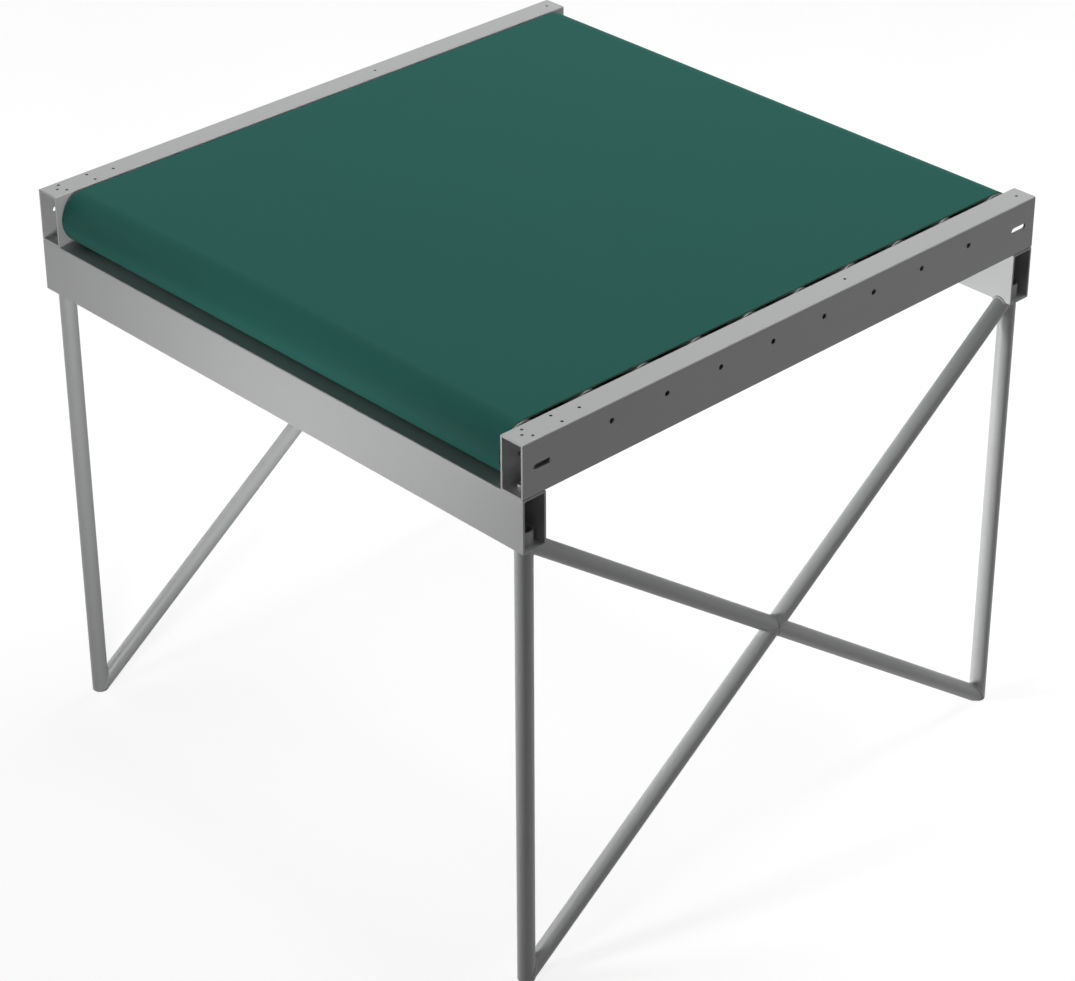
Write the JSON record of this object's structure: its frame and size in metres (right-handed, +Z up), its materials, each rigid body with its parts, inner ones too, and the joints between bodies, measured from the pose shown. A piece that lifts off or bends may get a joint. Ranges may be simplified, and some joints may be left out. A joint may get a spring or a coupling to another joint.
{
  "type": "belt conveyor",
  "caption": "Short wide belt conveyor: a green belt over rollers between rectangular tube rails, on four round tube legs with crossed side braces.",
  "frame": {"origin": "on the floor, under the middle of the whole conveyor", "axes": "+X to the right across the belt, +Y from the head end to the tail end, +Z up"},
  "size_m": [1, 1.0027, 0.8608],
  "materials": {
    "frame_paint": "satin light grey powder coat",
    "belt_cover": "matt dark green cover, fine matt texture",
    "roller_steel": "zinc-plated tube",
    "moulding": "black moulded bearing ends",
    "plug_plastic": "grey moulded plug",
    "bright_steel": "turned steel",
    "zinc_fastener": "zinc-plated fastener",
    "bearing_steel": "ground bearing steel",
    "motor_housing": "cast and machined housing",
    "gear_steel": "oiled cut steel"
  },
  "bodies": {
    "root": {"side_rail_right": "frame_paint", "side_rail_left": "frame_paint", "cross_member_front": "frame_paint", "cross_member_rear": "frame_paint", "corner_screws": "zinc_fastener", "corner_nuts": "zinc_fastener", "leg_plugs": "plug_plastic", "belt": "belt_cover", "roller_screws": "zinc_fastener", "head_axle_right": "bright_steel", "head_axle_left": "bright_steel", "head_screws": "zinc_fastener", "motor_can": "motor_housing", "gear_carrier": "motor_housing", "brace_right_through": "frame_paint", "brace_right_upper": "frame_paint", "brace_right_lower": "frame_paint", "leg_front_right": "frame_paint", "leg_rear_right": "frame_paint", "brace_left_through": "frame_paint", "brace_left_upper": "frame_paint", "brace_left_lower": "frame_paint", "leg_front_left": "frame_paint", "leg_rear_left": "frame_paint", "roller_axle_1": "bright_steel", "roller_axle_2": "bright_steel", "roller_axle_3": "bright_steel", "roller_axle_4": "bright_steel", "roller_axle_5": "bright_steel", "roller_axle_6": "bright_steel", "roller_axle_7": "bright_steel", "roller_axle_8": "bright_steel"},
    "head_drum": {"head_shell": "roller_steel", "head_ends": "motor_housing", "head_bearings": "bearing_steel", "ring_gear": "gear_steel"},
    "motor_rotor": {"motor_rotor": "gear_steel"},
    "lay_gear": {"lay_gear": "gear_steel"},
    "tail_carriage": {"tail_axle": "bright_steel", "tail_screws": "zinc_fastener"},
    "tail_drum": {"tail_shell": "roller_steel", "tail_ends": "motor_housing", "tail_bearings": "bearing_steel"},
    "roller_1": {"roller_tube_1": "roller_steel", "roller_ends_1": "moulding"},
    "roller_2": {"roller_tube_2": "roller_steel", "roller_ends_2": "moulding"},
    "roller_3": {"roller_tube_3": "roller_steel", "roller_ends_3": "moulding"},
    "roller_4": {"roller_tube_4": "roller_steel", "roller_ends_4": "moulding"},
    "roller_5": {"roller_tube_5": "roller_steel", "roller_ends_5": "moulding"},
    "roller_6": {"roller_tube_6": "roller_steel", "roller_ends_6": "moulding"},
    "roller_7": {"roller_tube_7": "roller_steel", "roller_ends_7": "moulding"},
    "roller_8": {"roller_tube_8": "roller_steel", "roller_ends_8": "moulding"}
  },
  "joints": [
    {"name": "head_drum_spin", "type": "hinge", "parent": "root", "child": "head_drum", "pos_m": [0, -0.4584, 0.821], "axis": [1, 0, 0], "continuous": true},
    {"name": "lay_gear_spin", "type": "hinge", "parent": "root", "child": "lay_gear", "pos_m": [0, -0.4424, 0.821], "axis": [1, 0, 0], "continuous": true},
    {"name": "motor_rotor_spin", "type": "hinge", "parent": "root", "child": "motor_rotor", "pos_m": [0, -0.4584, 0.821], "axis": [1, 0, 0], "continuous": true},
    {"name": "roller_1_spin", "type": "hinge", "parent": "root", "child": "roller_1", "pos_m": [0, -0.3464, 0.8335], "axis": [1, 0, 0], "continuous": true},
    {"name": "roller_2_spin", "type": "hinge", "parent": "root", "child": "roller_2", "pos_m": [0, -0.2464, 0.8335], "axis": [1, 0, 0], "continuous": true},
    {"name": "roller_3_spin", "type": "hinge", "parent": "root", "child": "roller_3", "pos_m": [0, -0.1464, 0.8335], "axis": [1, 0, 0], "continuous": true},
    {"name": "roller_4_spin", "type": "hinge", "parent": "root", "child": "roller_4", "pos_m": [0, -0.0464, 0.8335], "axis": [1, 0, 0], "continuous": true},
    {"name": "roller_5_spin", "type": "hinge", "parent": "root", "child": "roller_5", "pos_m": [0, 0.0536, 0.8335], "axis": [1, 0, 0], "continuous": true},
    {"name": "roller_6_spin", "type": "hinge", "parent": "root", "child": "roller_6", "pos_m": [0, 0.1536, 0.8335], "axis": [1, 0, 0], "continuous": true},
    {"name": "roller_7_spin", "type": "hinge", "parent": "root", "child": "roller_7", "pos_m": [0, 0.2536, 0.8335], "axis": [1, 0, 0], "continuous": true},
    {"name": "roller_8_spin", "type": "hinge", "parent": "root", "child": "roller_8", "pos_m": [0, 0.3536, 0.8335], "axis": [1, 0, 0], "continuous": true},
    {"name": "takeup_slide", "type": "slide", "parent": "root", "child": "tail_carriage", "axis": [0, -1, 0], "range_m": [0, 0.008]},
    {"name": "tail_drum_spin", "type": "hinge", "parent": "tail_carriage", "child": "tail_drum", "pos_m": [0, 0.4616, 0.821], "axis": [1, 0, 0], "continuous": true}
  ],
  "couplings": [
    {"joint": "lay_gear_spin", "follows": "head_drum_spin", "ratio": 3.6667},
    {"joint": "motor_rotor_spin", "follows": "head_drum_spin", "ratio": -8.0667},
    {"joint": "tail_drum_spin", "follows": "head_drum_spin", "ratio": 1},
    {"joint": "roller_1_spin", "follows": "head_drum_spin", "ratio": 1.5},
    {"joint": "roller_2_spin", "follows": "head_drum_spin", "ratio": 1.5},
    {"joint": "roller_3_spin", "follows": "head_drum_spin", "ratio": 1.5},
    {"joint": "roller_4_spin", "follows": "head_drum_spin", "ratio": 1.5},
    {"joint": "roller_5_spin", "follows": "head_drum_spin", "ratio": 1.5},
    {"joint": "roller_6_spin", "follows": "head_drum_spin", "ratio": 1.5},
    {"joint": "roller_7_spin", "follows": "head_drum_spin", "ratio": 1.5},
    {"joint": "roller_8_spin", "follows": "head_drum_spin", "ratio": 1.5}
  ]
}
